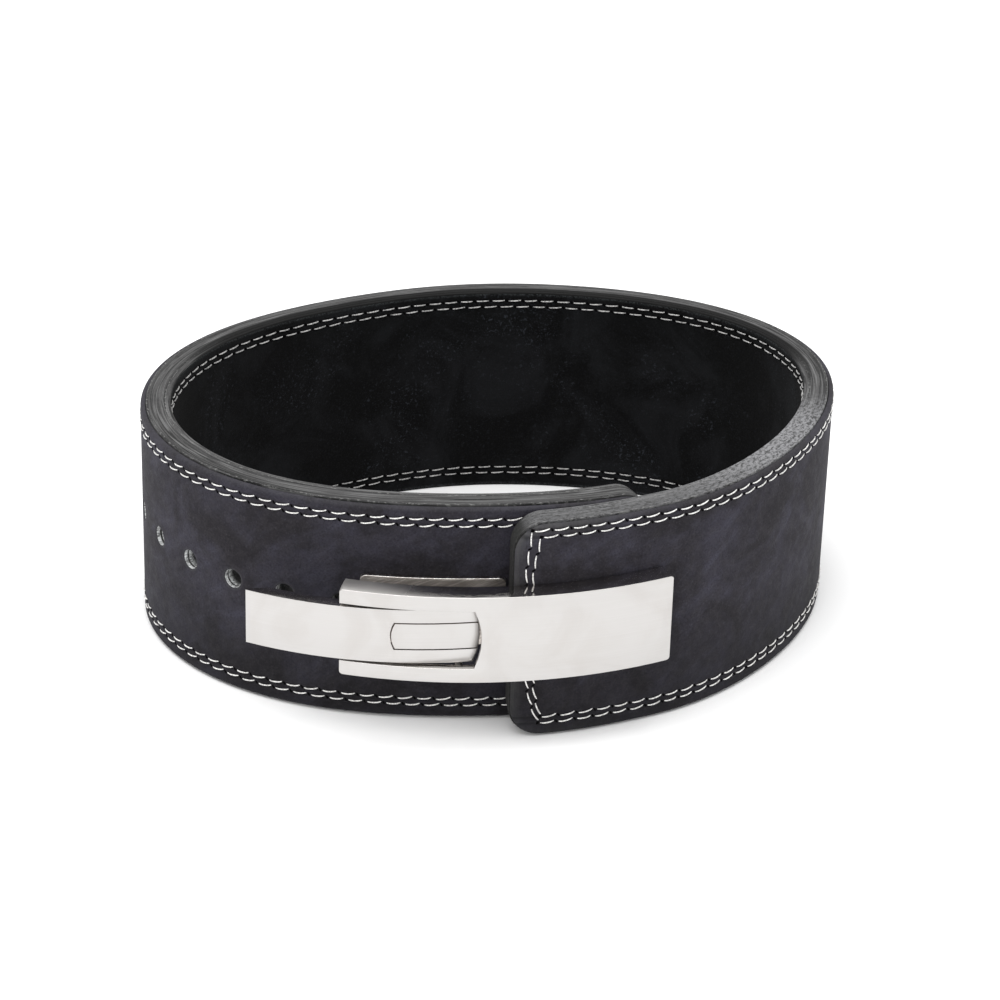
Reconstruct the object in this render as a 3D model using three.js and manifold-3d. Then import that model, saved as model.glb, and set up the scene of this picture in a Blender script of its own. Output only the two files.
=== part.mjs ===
// Lever belt for lifting: a thick leather loop that stands on its lower edge, closed by a steel lever buckle.
// Millimetres, +Z up. The origin is on the floor under the middle of the whole, and the buckle faces -Y.

import * as THREE from 'three';
import { mergeVertices } from 'three/addons/utils/BufferGeometryUtils.js';
import Module from 'manifold-3d';

const wasm = await Module();
wasm.setup();

// Leather: an outer layer of nubuck, a core of bonded hide and a suede lining.
const beltHeight = 100;
const outerThickness = 2.0;
const coreThickness = 8.6;
const liningThickness = 1.8;
const layerGap = 0.3;
const skinInset = 0.8;
const edgeRound = 1.2;
const cornerRadius = 14;

// Clearance between metal pieces, and between metal and leather.
const fit = 0.3;

// Plan of the loop: a round of this mean radius, with the lobes of the table as shares of it.
const loopRadius = 130.5;
const planLobes = [
  { lobes: 2, cosine: 0.135, sine: 0.073 },
  { lobes: 3, cosine: -0.002, sine: 0.002 },
  { lobes: 4, cosine: 0.007, sine: 0.016 },
  { lobes: 5, cosine: 0.0, sine: 0.005 },
];

// The belt runs clockwise from its inner end, climbs over that end, laps it and springs off at the tip.
// Turns are in degrees, clockwise from +X.
const innerEndTurn = 54;
const climbSpan = 62;
const lapSpan = 31;
const lapGap = 0.5;
const tipSpring = 3;

// Row of prong holes in the inner end, counted from under the outer end's edge. The first hold the prongs.
const holeRise = 3;
const holeDiameter = 8.5;
const firstHole = 18.4;
const holePitch = 25;
const holeCount = 8;
const prongCount = 2;

// Buckle plate: a curved channel over the outer end, slotted from its left end for the lever.
const plateHeight = 39.5;
const plateRadius = 193;
const plateWall = 3;
const plateOverhang = 75;
const plateCorner = 1.8;
const seatReach = 65;
const tipReach = 3;
const seatGap = 0.4;
const tipStand = 0.5;

// Lever: a narrower channel that turns on a pin near its right end.
const leverHeight = 24.5;
const leverRadius = 158;
const leverWall = 2;
const leverDepth = 6;
const leverHeel = 12;
const leverReach = 89.6;
const hingeSet = 25.5;
const leverToe = 5.4;
const leverSink = 4.5;
const leverProud = 2.1;
const slotClearance = 1.05;
const heelClearance = 0.6;
const endBulge = 3;
const pinDiameter = 3;
const pinCover = 0.9;
const pinCap = 1.2;

// Insert of the lever's face: it fills the fork between the lever's knuckles and has a knuckle of its own.
const insertLength = 31.6;
const insertHeight = 12;
const insertBulge = 1.6;

// Prong plate on the inner end, and the mounting plate with two screws in the outer end.
const prongPlateHeight = 31;
const prongPlateThickness = 2.5;
const prongPlateMargin = 17.2;
const prongPlateCorner = 3;
const prongShort = 2;
const mountThickness = 2.5;
const mountMargin = 8;
const screwDiameter = 5;
const screwHeadDiameter = 9;
const screwHeadHeight = 1.8;
const screwPitch = 25;
const headRoom = 1.6;

// Fineness: sections along the belt, facets of the curved plates and sides of the round pieces.
const sectionStep = 9.5;
const plateFacets = 18;
const leverFacets = 14;
const stripFacets = 8;
const roundSides = 12;

// Cutters run this far past what they cut.
const cutPast = 3;

const beltThickness = outerThickness + layerGap + coreThickness + layerGap + liningThickness;
const coreFace = outerThickness + layerGap;
const liningFace = coreFace + coreThickness + layerGap;
const plateDepth = plateWall + 2 * fit + mountThickness + screwHeadHeight + headRoom;
const plateThrough = 3 * plateDepth;
const pinDepth = leverSink + pinCover + pinDiameter / 2;
const slotHeight = leverHeight + 2 * slotClearance;
const lapTurn = innerEndTurn + 360;
const outerEndTurn = lapTurn + lapSpan;
const holeLine = beltHeight / 2 + holeRise;
const degree = Math.PI / 180;

// A value that goes from 0 to 1 as x goes from a to b, level at both ends.
function ease(x, a, b) {
  return THREE.MathUtils.smoothstep(x, a, b);
}

// Outer face of the loop before the climb, at a turn in degrees, clockwise seen from above.
function roundPoint(turn) {
  const angle = -turn * degree;
  let share = 1;
  for (const row of planLobes) {
    share += row.cosine * Math.cos(row.lobes * angle) + row.sine * Math.sin(row.lobes * angle);
  }
  return new THREE.Vector2(Math.cos(angle), Math.sin(angle)).multiplyScalar(loopRadius * share);
}

// Outward normal of a plan curve, given as a function of the turn.
function normalAt(curve, turn) {
  const step = 0.05;
  const along = curve(turn + step).sub(curve(turn - step)).normalize();
  return new THREE.Vector2(-along.y, along.x);
}

// Outer face of the belt itself, with the climb over the inner end and the spring of the tip.
function beltPoint(turn) {
  const climb = (beltThickness + lapGap) * ease(turn, lapTurn - climbSpan, lapTurn);
  const spring = tipSpring * ease(turn, lapTurn, outerEndTurn);
  return roundPoint(turn).addScaledVector(normalAt(roundPoint, turn), climb + spring);
}

// The belt's outer face as stations with their arc length, point and normal.
function makeStations() {
  const fine = [];
  const fineTurn = 0.25;
  let length = 0;
  for (let turn = innerEndTurn; turn <= outerEndTurn; turn += fineTurn) {
    const point = beltPoint(turn);
    if (fine.length > 0) {
      length += point.distanceTo(fine[fine.length - 1].point);
    }
    fine.push({ turn, length, point, normal: normalAt(beltPoint, turn) });
  }
  return fine;
}
const stations = makeStations();
const beltLength = stations[stations.length - 1].length;

// Place on the belt at an arc length from its inner end: point, outward normal and direction of run.
function placeAt(length) {
  const goal = THREE.MathUtils.clamp(length, 0, beltLength);
  let index = stations.findIndex((station) => station.length >= goal);
  index = Math.max(index, 1);
  const before = stations[index - 1];
  const after = stations[index];
  const share = (goal - before.length) / (after.length - before.length);
  const point = before.point.clone().lerp(after.point, share);
  const normal = before.normal.clone().lerp(after.normal, share).normalize();
  return { point, normal, run: new THREE.Vector2(normal.y, -normal.x) };
}

// Plan point at an arc length and a depth under the outer face; a negative depth stands off it.
function planPoint(length, depth) {
  const place = placeAt(length);
  return place.point.addScaledVector(place.normal, -depth);
}

// Arc length on the inner winding that lies under the belt's outer end.
function lengthUnderTip() {
  const tip = planPoint(beltLength, beltThickness);
  const winding = stations.filter((station) => station.turn < innerEndTurn + 180);
  const apart = winding.map((station) => station.point.distanceTo(tip));
  return winding[apart.indexOf(Math.min(...apart))].length;
}
const underTip = lengthUnderTip();

const holePlaces = [];
for (let hole = 0; hole < holeCount; hole += 1) {
  holePlaces.push(underTip + firstHole + hole * holePitch);
}
const prongPlaces = holePlaces.slice(0, prongCount);
const screwPlaces = [-0.5, 0.5].map((share) => beltLength - seatReach / 2 + share * screwPitch);

// Solids: closed meshes with merged corners, cut and joined as manifold solids.
function solidOf(geometry) {
  const weld = 1e-4;
  const plain = geometry.index ? geometry.toNonIndexed() : geometry;
  plain.deleteAttribute('normal');
  plain.deleteAttribute('uv');
  const merged = mergeVertices(plain, weld);
  return new wasm.Manifold(new wasm.Mesh({
    numProp: 3,
    vertProperties: new Float32Array(merged.attributes.position.array),
    triVerts: new Uint32Array(merged.index.array),
  }));
}

function geometryOf(solid) {
  const mesh = solid.getMesh();
  const geometry = new THREE.BufferGeometry();
  geometry.setAttribute('position', new THREE.BufferAttribute(mesh.vertProperties, 3));
  geometry.setIndex(new THREE.BufferAttribute(mesh.triVerts, 1));
  return geometry;
}

// Prism over a plan outline in XY, from one height to another.
function plateFromPlan(points, bottom, top) {
  const options = { depth: top - bottom, bevelEnabled: false };
  const geometry = new THREE.ExtrudeGeometry(new THREE.Shape(points), options);
  geometry.translate(0, 0, bottom);
  return solidOf(geometry);
}

// Prism through the buckle on its middle line: an outline in run and height, pushed through along a normal.
function cutThrough(outline, point, normal) {
  const options = { depth: 2 * plateThrough, bevelEnabled: false, curveSegments: 6 };
  const geometry = new THREE.ExtrudeGeometry(outline, options);
  geometry.translate(0, 0, -plateThrough);
  const outward = new THREE.Vector3(normal.x, normal.y, 0);
  const right = new THREE.Vector3(-normal.y, normal.x, 0);
  const frame = new THREE.Matrix4().makeBasis(right, new THREE.Vector3(0, 0, 1), outward);
  frame.setPosition(point.x, point.y, holeLine);
  geometry.applyMatrix4(frame);
  return solidOf(geometry);
}

// Round bar along the outward normal of a place, from a depth inside it to a depth outside it.
function barThrough(length, diameter, deep, proud) {
  const place = placeAt(length);
  const geometry = new THREE.CylinderGeometry(diameter / 2, diameter / 2, deep + proud, roundSides);
  const outward = new THREE.Vector3(place.normal.x, place.normal.y, 0);
  geometry.translate(0, (proud - deep) / 2, 0);
  geometry.applyQuaternion(new THREE.Quaternion().setFromUnitVectors(new THREE.Vector3(0, 1, 0), outward));
  geometry.translate(place.point.x, place.point.y, holeLine);
  return solidOf(geometry);
}

// Upright round pin, or its bore.
function uprightBar(point, diameter, bottom, top) {
  const geometry = new THREE.CylinderGeometry(diameter / 2, diameter / 2, top - bottom, roundSides);
  geometry.rotateX(Math.PI / 2);
  geometry.translate(point.x, point.y, (bottom + top) / 2);
  return solidOf(geometry);
}

// Arc lengths of a layer's sections: even along the belt, and closer together round the end corners.
function sectionLengths(inset) {
  const radius = cornerRadius - inset;
  const lengths = [];
  const cornerSteps = 5;
  for (let step = 0; step <= cornerSteps; step += 1) {
    lengths.push(inset + radius * (1 - Math.cos((step / cornerSteps) * 90 * degree)));
  }
  const straight = beltLength - 2 * cornerRadius;
  const steps = Math.round(straight / sectionStep);
  for (let step = 1; step < steps; step += 1) {
    lengths.push(cornerRadius + (straight * step) / steps);
  }
  for (let step = cornerSteps; step >= 0; step -= 1) {
    lengths.push(beltLength - inset - radius * (1 - Math.cos((step / cornerSteps) * 90 * degree)));
  }
  return lengths;
}

// Half height of a layer at an arc length, less where it rounds a corner.
function halfHeight(length, inset) {
  const radius = cornerRadius - inset;
  const fromEnd = Math.min(length, beltLength - length) - inset;
  const run = Math.max(radius - fromEnd, 0);
  return beltHeight / 2 - cornerRadius + Math.sqrt(Math.max(radius * radius - run * run, 0));
}

// One layer of the belt: a section of depth and height swept along the loop. Its rows give the depth under the
// outer face, the side (1 is the top edge) and how far the corner is drawn in from the edge.
function beltLayer(section, inset) {
  const lengths = sectionLengths(inset);
  const positions = [];
  for (const length of lengths) {
    const half = halfHeight(length, inset);
    for (const corner of section) {
      const point = planPoint(length, corner.depth);
      positions.push(point.x, point.y, beltHeight / 2 + corner.side * (half - corner.draw));
    }
  }
  const count = section.length;
  const indices = [];
  for (let ring = 0; ring < lengths.length - 1; ring += 1) {
    for (let corner = 0; corner < count; corner += 1) {
      const next = (corner + 1) % count;
      const a = ring * count + corner;
      const b = ring * count + next;
      indices.push(a, a + count, b, b, a + count, b + count);
    }
  }
  const last = (lengths.length - 1) * count;
  for (let corner = 1; corner < count - 1; corner += 1) {
    indices.push(0, corner, corner + 1);
    indices.push(last, last + corner + 1, last + corner);
  }
  const geometry = new THREE.BufferGeometry();
  geometry.setAttribute('position', new THREE.Float32BufferAttribute(positions, 3));
  geometry.setIndex(indices);
  return solidOf(geometry);
}

// Section of a skin with its visible face's corners drawn in.
function skinSection(face, back) {
  const round = Math.min(edgeRound, Math.abs(back - face) / 1.5);
  const shoulder = face + round * Math.sign(back - face);
  return [
    { depth: back, side: -1, draw: 0 },
    { depth: back, side: 1, draw: 0 },
    { depth: shoulder, side: 1, draw: 0 },
    { depth: face, side: 1, draw: round },
    { depth: face, side: -1, draw: round },
    { depth: shoulder, side: -1, draw: 0 },
  ];
}

function withScrewHoles(piece) {
  let solid = piece;
  for (const place of screwPlaces) {
    const bore = screwDiameter + 2 * fit;
    solid = solid.subtract(barThrough(place, bore, beltThickness + lapGap, mountThickness + cutPast));
  }
  return solid;
}

// The layers are pierced together by the prong holes and the two screw holes.
function pierced(layer) {
  let solid = layer;
  for (const place of holePlaces) {
    solid = solid.subtract(barThrough(place, holeDiameter, beltThickness + cutPast, cutPast));
  }
  return withScrewHoles(solid);
}

function outerLayer() {
  return pierced(beltLayer(skinSection(0, outerThickness), skinInset));
}

function leatherCore() {
  const section = [
    { depth: coreFace + coreThickness, side: -1, draw: 0 },
    { depth: coreFace + coreThickness, side: 1, draw: 0 },
    { depth: coreFace, side: 1, draw: 0 },
    { depth: coreFace, side: -1, draw: 0 },
  ];
  return pierced(beltLayer(section, 0));
}

function suedeLining() {
  const section = skinSection(beltThickness, liningFace).reverse();
  return pierced(beltLayer(section, skinInset));
}

// Circle of a given radius whose arc leaves one point for the other and bows towards an outward side.
function circleThrough(left, right, radius) {
  const chord = right.clone().sub(left);
  const outward = new THREE.Vector2(chord.y, -chord.x).normalize();
  const drop = Math.sqrt(radius * radius - chord.lengthSq() / 4);
  return left.clone().add(right).multiplyScalar(0.5).addScaledVector(outward, -drop);
}

// A curved strip's plan frame: its centre, its face radius, and the direction and place of an angle from -Y.
function arcFrame(centre, radius) {
  const directionAt = (angle) => new THREE.Vector2(Math.sin(angle), -Math.cos(angle));
  const pointAt = (angle, depth) => centre.clone().addScaledVector(directionAt(angle), radius - depth);
  const angleOf = (point) => Math.atan2(point.x - centre.x, centre.y - point.y);
  return { centre, radius, directionAt, pointAt, angleOf };
}

// Curved wall between two angles and two depths of an arc frame.
function curvedWall(frame, fromAngle, toAngle, faceDepth, backDepth, bottom, top, steps) {
  const points = [];
  for (let step = 0; step <= steps; step += 1) {
    points.push(frame.pointAt(fromAngle + ((toAngle - fromAngle) * step) / steps, faceDepth));
  }
  for (let step = steps; step >= 0; step -= 1) {
    points.push(frame.pointAt(fromAngle + ((toAngle - fromAngle) * step) / steps, backDepth));
  }
  return plateFromPlan(points, bottom, top);
}

// Buckle plate: its back edges rest on the outer end at the seat and near the tip.
const seatPoint = planPoint(beltLength - seatReach, -seatGap);
const tipPoint = planPoint(beltLength - tipReach, -tipStand);
const plateCentre = circleThrough(tipPoint, seatPoint, plateRadius - plateDepth);
const plateFrame = arcFrame(plateCentre, plateRadius);
const plateRight = plateFrame.angleOf(seatPoint);
const plateLeft = plateFrame.angleOf(tipPoint) - plateOverhang / plateRadius;
const plateTop = holeLine + plateHeight / 2;
const plateBottom = holeLine - plateHeight / 2;

// Hinge of the lever: its pin lies in the plate's flanges, and the lever's heel reaches the toe beyond it.
const hingeAngle = plateFrame.angleOf(tipPoint) - hingeSet / plateRadius;
const hingePoint = plateFrame.pointAt(hingeAngle, pinDepth);
const toePoint = plateFrame.pointAt(hingeAngle + leverToe / plateRadius, leverSink);
const freePoint = plateFrame.pointAt(hingeAngle - leverReach / plateRadius, -leverProud);
const leverFrame = arcFrame(circleThrough(freePoint, toePoint, leverRadius), leverRadius);
const leverRight = leverFrame.angleOf(toePoint);
const leverLeft = leverFrame.angleOf(freePoint);

// Outline with a bowed right end and, if asked, a bowed left end, from its left edge to its right edge.
function bowedOutline(left, right, height, bow, leftBow) {
  const half = height / 2;
  const shape = new THREE.Shape();
  shape.moveTo(left, -half);
  shape.lineTo(right, -half);
  shape.quadraticCurveTo(right + 2 * bow, 0, right, half);
  shape.lineTo(left, half);
  if (leftBow > 0) {
    shape.quadraticCurveTo(left - 2 * leftBow, 0, left, -half);
  }
  return shape;
}

function roundedOutline(width, height, radius) {
  const x = width / 2;
  const y = height / 2;
  const shape = new THREE.Shape();
  shape.moveTo(-x + radius, -y);
  shape.lineTo(x - radius, -y);
  shape.quadraticCurveTo(x, -y, x, -y + radius);
  shape.lineTo(x, y - radius);
  shape.quadraticCurveTo(x, y, x - radius, y);
  shape.lineTo(-x + radius, y);
  shape.quadraticCurveTo(-x, y, -x, y - radius);
  shape.lineTo(-x, -y + radius);
  shape.quadraticCurveTo(-x, -y, -x + radius, -y);
  return shape;
}

// The plate is a curved bar, hollowed between its flanges, slotted, cornered and bored for the pin.
function bucklePlate() {
  const past = cutPast / plateRadius;
  const bar = curvedWall(
    plateFrame, plateLeft, plateRight, 0, plateDepth, plateBottom, plateTop, plateFacets,
  );
  const hollow = curvedWall(
    plateFrame, plateLeft - past, plateRight + past, plateWall, plateDepth + plateWall,
    plateBottom + plateWall, plateTop - plateWall, plateFacets,
  );
  const slotEnd = leverToe + heelClearance;
  const slotOutline = bowedOutline(-2 * plateOverhang, slotEnd, slotHeight, endBulge, 0);
  const slotFace = plateFrame.pointAt(hingeAngle, 0);
  const slot = cutThrough(slotOutline, slotFace, plateFrame.directionAt(hingeAngle));
  const middle = (plateLeft + plateRight) / 2;
  const width = 2 * plateRadius * Math.sin((plateRight - plateLeft) / 2);
  const blankOutline = roundedOutline(width, plateHeight, plateCorner);
  const blankFace = plateFrame.pointAt(middle, 0);
  const blank = cutThrough(blankOutline, blankFace, plateFrame.directionAt(middle));
  const socket = uprightBar(hingePoint, pinDiameter + 2 * fit, plateBottom + pinCap, plateTop - pinCap);
  return bar.subtract(hollow).subtract(slot).intersect(blank).subtract(socket);
}

// Prism that bows the lever's right end, and that of its insert, to the same outline.
function heelOutline() {
  const outline = bowedOutline(-2 * leverReach, 0, slotHeight, endBulge, 0);
  return cutThrough(outline, toePoint, leverFrame.directionAt(leverRight));
}

// Channel of the lever's section with a solid heel round the pin, between two heights.
function leverBody(bottom, top) {
  const past = 2 * endBulge / leverRadius;
  const heelAngle = leverRight - leverHeel / leverRadius;
  const bar = curvedWall(leverFrame, leverLeft, leverRight + past, 0, leverDepth, bottom, top, leverFacets);
  const channel = curvedWall(
    leverFrame, leverLeft - past, heelAngle, leverWall, leverDepth + leverWall,
    holeLine - leverHeight / 2 + leverWall, holeLine + leverHeight / 2 - leverWall, leverFacets,
  );
  return bar.subtract(channel).intersect(heelOutline());
}

// Fork of the lever, which the insert fills, grown by a clearance.
function insertPrism(clearance) {
  const outline = bowedOutline(
    -insertLength - clearance, leverHeel, insertHeight + 2 * clearance, 0, insertBulge,
  );
  return cutThrough(outline, toePoint, leverFrame.directionAt(leverRight));
}

function pinBore() {
  const reach = leverHeight / 2 + cutPast;
  return uprightBar(hingePoint, pinDiameter + 2 * fit, holeLine - reach, holeLine + reach);
}

function leverTongue() {
  const body = leverBody(holeLine - leverHeight / 2, holeLine + leverHeight / 2);
  return body.subtract(insertPrism(fit)).subtract(pinBore());
}

function leverInsert() {
  const body = leverBody(holeLine - insertHeight / 2, holeLine + insertHeight / 2);
  return body.intersect(insertPrism(0)).subtract(pinBore());
}

function hingePin() {
  return uprightBar(hingePoint, pinDiameter, plateBottom + pinCap + fit, plateTop - pinCap - fit);
}

// Strip that follows the belt's face between two arc lengths and two stand-offs.
function followingStrip(fromLength, toLength, nearFace, farFace, height) {
  const points = [];
  for (let step = 0; step <= stripFacets; step += 1) {
    points.push(planPoint(fromLength + ((toLength - fromLength) * step) / stripFacets, -nearFace));
  }
  for (let step = stripFacets; step >= 0; step -= 1) {
    points.push(planPoint(fromLength + ((toLength - fromLength) * step) / stripFacets, -farFace));
  }
  points.reverse();
  return plateFromPlan(points, holeLine - height / 2, holeLine + height / 2);
}

// The prong plate starts beside the outer end's edge and runs past the last prong.
function prongPlate() {
  const start = underTip + 2 * fit;
  const end = prongPlaces[prongCount - 1] + prongPlateMargin;
  const strip = followingStrip(start, end, fit, fit + prongPlateThickness, prongPlateHeight);
  const middle = placeAt((start + end) / 2);
  const outline = roundedOutline(end - start, prongPlateHeight, prongPlateCorner);
  let plate = strip.intersect(cutThrough(outline, middle.point, middle.normal));
  for (const place of prongPlaces) {
    const diameter = holeDiameter - 2 * fit;
    plate = plate.add(barThrough(place, diameter, beltThickness - prongShort, fit + prongPlateThickness / 2));
  }
  return plate;
}

function mountingPlate() {
  const start = beltLength - seatReach + mountMargin;
  const end = beltLength - mountMargin;
  const height = plateHeight - 2 * plateWall - 2 * fit;
  return withScrewHoles(followingStrip(start, end, fit, fit + mountThickness, height));
}

function mountingScrew(place) {
  const under = 2 * fit + mountThickness;
  const head = barThrough(place, screwHeadDiameter, -under, under + screwHeadHeight);
  return head.add(barThrough(place, screwDiameter, beltThickness - fit, under + screwHeadHeight / 2));
}

const nubuck = { color: 0x2b2b33, roughness: 0.92, metalness: 0 };
const burnishedEdge = { color: 0x2c2c2c, roughness: 0.55, metalness: 0 };
const suede = { color: 0x141416, roughness: 0.97, metalness: 0 };
const brushedSteel = { color: 0xdcdad6, roughness: 0.28, metalness: 1 };

const belt = new THREE.Group();

function addPiece(name, solid, finish) {
  const mesh = new THREE.Mesh(geometryOf(solid), new THREE.MeshStandardMaterial(finish));
  mesh.name = name;
  belt.add(mesh);
}

addPiece('outer_layer', outerLayer(), nubuck);
addPiece('leather_core', leatherCore(), burnishedEdge);
addPiece('suede_lining', suedeLining(), suede);
addPiece('buckle_plate', bucklePlate(), brushedSteel);
addPiece('lever_tongue', leverTongue(), brushedSteel);
addPiece('lever_insert', leverInsert(), brushedSteel);
addPiece('hinge_pin', hingePin(), brushedSteel);
addPiece('prong_plate', prongPlate(), brushedSteel);
addPiece('mounting_plate', mountingPlate(), brushedSteel);
screwPlaces.forEach((place, index) => {
  addPiece(`mounting_screw_${index + 1}`, mountingScrew(place), brushedSteel);
});

// The origin comes from the middle of the loop to the middle of the whole, buckle included.
const middle = new THREE.Box3().setFromObject(belt).getCenter(new THREE.Vector3());
belt.position.set(-middle.x, -middle.y, 0);

export default belt;
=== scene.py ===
import math
import bmesh
import bpy
import numpy as np
from mathutils import Euler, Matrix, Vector


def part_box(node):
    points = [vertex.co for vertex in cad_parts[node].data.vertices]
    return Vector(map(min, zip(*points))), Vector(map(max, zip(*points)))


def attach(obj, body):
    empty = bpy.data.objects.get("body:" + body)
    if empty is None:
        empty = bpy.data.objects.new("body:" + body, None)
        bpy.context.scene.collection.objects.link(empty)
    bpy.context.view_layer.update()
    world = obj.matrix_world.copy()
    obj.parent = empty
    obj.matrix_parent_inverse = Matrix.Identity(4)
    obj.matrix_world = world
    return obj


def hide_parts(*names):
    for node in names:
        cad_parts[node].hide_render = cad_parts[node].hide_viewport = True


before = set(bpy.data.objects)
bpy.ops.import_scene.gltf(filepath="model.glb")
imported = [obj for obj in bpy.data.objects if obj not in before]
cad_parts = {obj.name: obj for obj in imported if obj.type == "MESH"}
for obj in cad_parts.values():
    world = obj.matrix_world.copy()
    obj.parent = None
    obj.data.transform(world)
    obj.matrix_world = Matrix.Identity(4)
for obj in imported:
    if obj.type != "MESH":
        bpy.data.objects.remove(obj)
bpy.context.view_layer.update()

# Lengths are written in millimetres times mm, because the scene is in metres.
mm = 0.001


# Camera: a long lens in front of the buckle, a little above the belt and looking down on it, as in the
# photograph. The lens and its sensor are in millimetres, as Blender has them.
camera_place = Vector((5.6, -1325.1, 740)) * mm
camera_pitch = math.radians(27.46)
camera_roll = math.radians(1.70)
focal_length = 122.5
sensor_width = 36
nearest_seen = 50 * mm

camera = bpy.data.objects.new("camera", bpy.data.cameras.new("camera"))
camera.data.lens = focal_length
camera.data.sensor_width = sensor_width
camera.data.clip_start = nearest_seen
camera.location = camera_place
look = Euler((math.pi / 2 - camera_pitch, 0, 0)).to_matrix()
camera.rotation_euler = (look @ Euler((0, 0, camera_roll)).to_matrix()).to_euler()
bpy.context.scene.collection.objects.link(camera)
bpy.context.scene.camera = camera


# Strap: three layers of hide, glued and stitched, cut as one long band with rounded corners. It runs
# clockwise from its inner end, climbs over that end and springs off it a little at the tip. Every point is
# known by its arc length along the outer face, its height, and its depth under that face.
strap_width = 100 * mm
outer_skin = 2.0 * mm
core_hide = 8.6 * mm
lining_skin = 1.8 * mm
glue_line = 0.3 * mm
strap_thickness = outer_skin + glue_line + core_hide + glue_line + lining_skin
corner_radius = 14 * mm
skin_inset = 0.8 * mm

# The plan of the loop. A lobe is its waves in a turn and its cosine's and sine's shares of the mean radius.
# Turns are degrees clockwise from +X, as seen from above.
mean_radius = 130.5 * mm
plan_lobes = ((2, 0.135, 0.073), (3, -0.002, 0.002), (4, 0.007, 0.016), (5, 0.0, 0.005))
inner_end_turn = 54
lap_turn = inner_end_turn + 360
climb_span = 62
lap_span = 31
lap_gap = 0.5 * mm
tip_spring = 3 * mm
path_samples = 8001


def smooth_climb(turns, start, end):
    share = np.clip((turns - start) / (end - start), 0, 1)
    return share * share * (3 - 2 * share)


def outward_normals(path):
    along = np.gradient(path, axis=0)
    along /= np.linalg.norm(along, axis=1)[:, None]
    return np.stack([-along[:, 1], along[:, 0]], axis=1)


turns = np.linspace(inner_end_turn, lap_turn + lap_span, path_samples)
angles = -np.radians(turns)
radii = mean_radius * (1 + sum(c * np.cos(n * angles) + s * np.sin(n * angles) for n, c, s in plan_lobes))
round_path = radii[:, None] * np.stack([np.cos(angles), np.sin(angles)], axis=1)
climb = (strap_thickness + lap_gap) * smooth_climb(turns, lap_turn - climb_span, lap_turn)
spring = tip_spring * smooth_climb(turns, lap_turn, lap_turn + lap_span)
strap_path = round_path + outward_normals(round_path) * (climb + spring)[:, None]
strap_normals = outward_normals(strap_path)
skin_low, skin_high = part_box("outer_layer")
strap_path += np.array((skin_low + skin_high)[:2]) / 2 - (strap_path.min(axis=0) + strap_path.max(axis=0)) / 2
arc_lengths = np.concatenate([[0], np.cumsum(np.linalg.norm(np.diff(strap_path, axis=0), axis=1))])
strap_length = arc_lengths[-1]


def at_lengths(values, lengths):
    """Rows of plan values, read along the strap at some arc lengths."""
    return np.stack([np.interp(lengths, arc_lengths, values[:, axis]) for axis in range(2)], axis=1)


def strap_points(places):
    """Turns rows of arc length, height and depth into points."""
    normals = at_lengths(strap_normals, places[:, 0])
    normals /= np.linalg.norm(normals, axis=1)[:, None]
    plan = at_lengths(strap_path, places[:, 0]) - normals * places[:, 2:3]
    return np.column_stack([plan, places[:, 1]])


# Prong holes: one row of punched holes in the inner end, slightly above the middle of the strap. Each one
# lies in a square patch of fine cells. The hide inside the holes is raw and fuzzy.
hole_line = strap_width / 2 + 3 * mm
hole_radius = 8.5 * mm / 2
first_hole = 18.4 * mm
hole_pitch = 25 * mm
hole_count = 8
hole_lip = 0.5 * mm
patch_reach = 6.25 * mm
patch_cells = 8
near_column_step = 3.2 * mm
column_step = 3.4 * mm
row_step = 4 * mm
corner_steps = 10
rim_steps = 6
layer_crease = math.radians(50)

tip_plan = strap_points(np.array([[strap_length, 0, strap_thickness]]))[0, :2]
first_half = turns < inner_end_turn + 180
under_tip = arc_lengths[first_half][np.argmin(np.linalg.norm(strap_path[first_half] - tip_plan, axis=1))]
hole_places = under_tip + first_hole + hole_pitch * np.arange(hole_count)


def even_run(start, end, step):
    return np.linspace(start, end, max(2, round((end - start) / step) + 1))


def strap_columns():
    """Arc lengths of the columns between the corner arcs, with finer ones round each hole."""
    stops = [corner_radius]
    runs = []
    for place in hole_places:
        runs.append(even_run(stops[-1], place - patch_reach, near_column_step)[:-1])
        runs.append(np.linspace(place - patch_reach, place + patch_reach, patch_cells + 1)[:-1])
        stops.append(place + patch_reach)
    runs.append(even_run(stops[-1], strap_length - corner_radius, column_step))
    return np.concatenate(runs)


def strap_rows():
    """Heights of the rows as shares of the half width, with finer ones along the hole line."""
    low, high = hole_line - patch_reach, hole_line + patch_reach
    rows = [even_run(0, low, row_step)[:-1], np.linspace(low, high, patch_cells + 1)[:-1]]
    rows.append(even_run(high, strap_width, row_step))
    return (np.concatenate(rows) - strap_width / 2) / (strap_width / 2)


middle_columns = strap_columns()
row_shares = strap_rows()


def row_count_below_holes():
    low = (hole_line - patch_reach - strap_width / 2) / (strap_width / 2)
    return int(np.argmin(np.abs(row_shares - low)))


def layer_grid(inset, depth):
    """Columns and rows of one face of a layer, drawn in from the strap's outline by an inset."""
    radius = corner_radius - inset
    swing = np.linspace(0, math.pi / 2, corner_steps + 1)[:-1]
    corner_runs = inset + radius * (1 - np.cos(swing))
    corner_heights = strap_width / 2 - corner_radius + radius * np.sin(swing)
    columns = np.concatenate([corner_runs, middle_columns, strap_length - corner_runs[::-1]])
    middle_height = np.full(len(middle_columns), strap_width / 2 - inset)
    halves = np.concatenate([corner_heights, middle_height, corner_heights[::-1]])
    heights = strap_width / 2 + row_shares[None, :] * halves[:, None]
    lengths = np.repeat(columns[:, None], len(row_shares), axis=1)
    return np.stack([lengths, heights, np.full_like(lengths, depth)], axis=2)


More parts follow.
